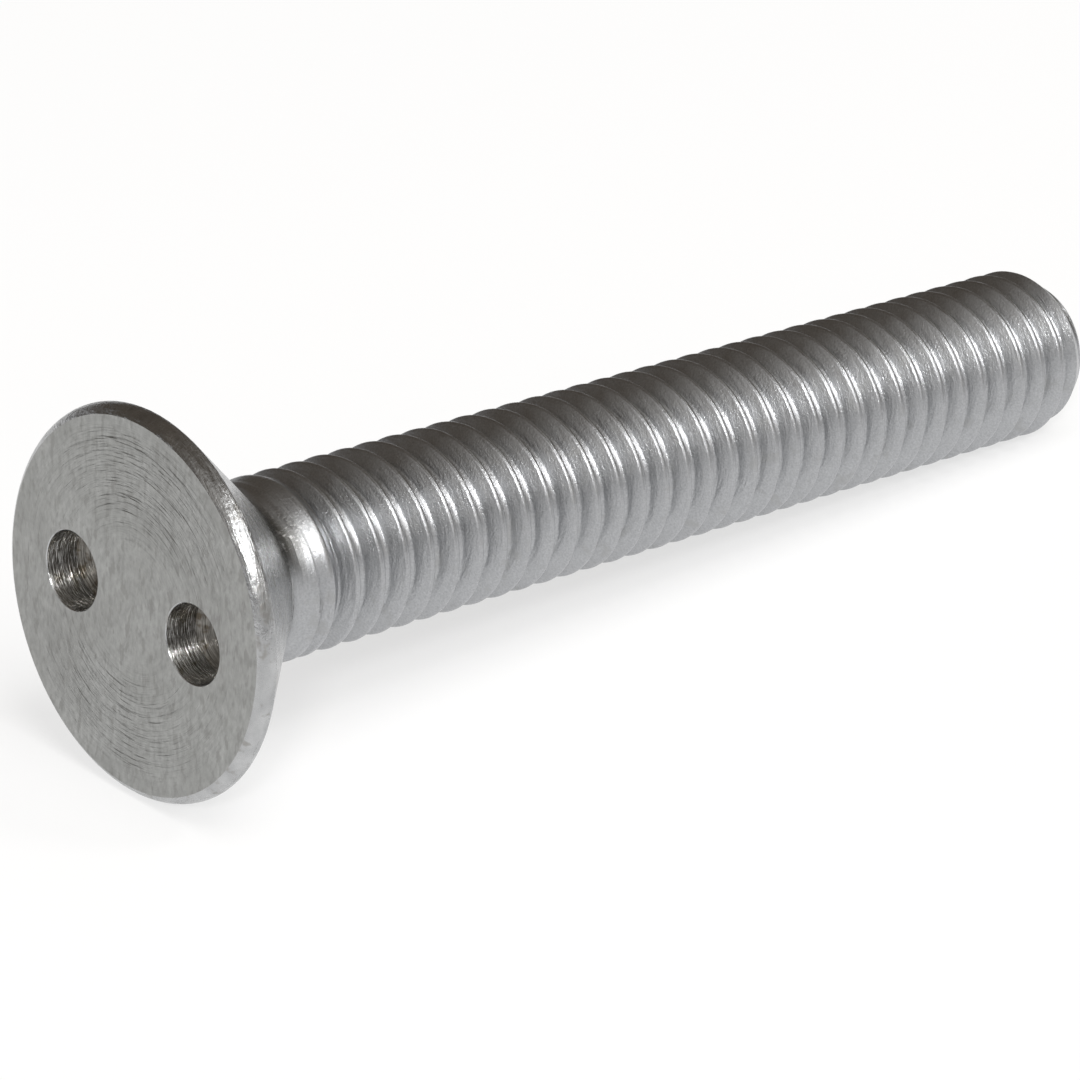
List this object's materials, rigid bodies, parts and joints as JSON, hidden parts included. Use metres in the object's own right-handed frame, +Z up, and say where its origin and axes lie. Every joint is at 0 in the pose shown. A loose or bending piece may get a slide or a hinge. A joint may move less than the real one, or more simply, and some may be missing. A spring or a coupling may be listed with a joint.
{
  "type": "spanner security screw",
  "caption": "Countersunk machine screw with a flat head and a pair of blind round spanner holes, for tamper-resistant fixing.",
  "frame": {"origin": "on the surface that the screw lies on, under the middle of its bounding box", "axes": "+X from the head to the tip along the screw, +Z up; the screw's axis slopes down toward the tip by 4.9 degrees, because it rests on the rim of its head and on its last full turn of thread"},
  "size_m": [0.0406, 0.0122, 0.0123],
  "materials": {
    "stainless": "bare turned stainless steel, turning rings on the face, rolled thread, no coating"
  },
  "bodies": {
    "root": {"screw": "stainless"}
  },
  "joints": []
}
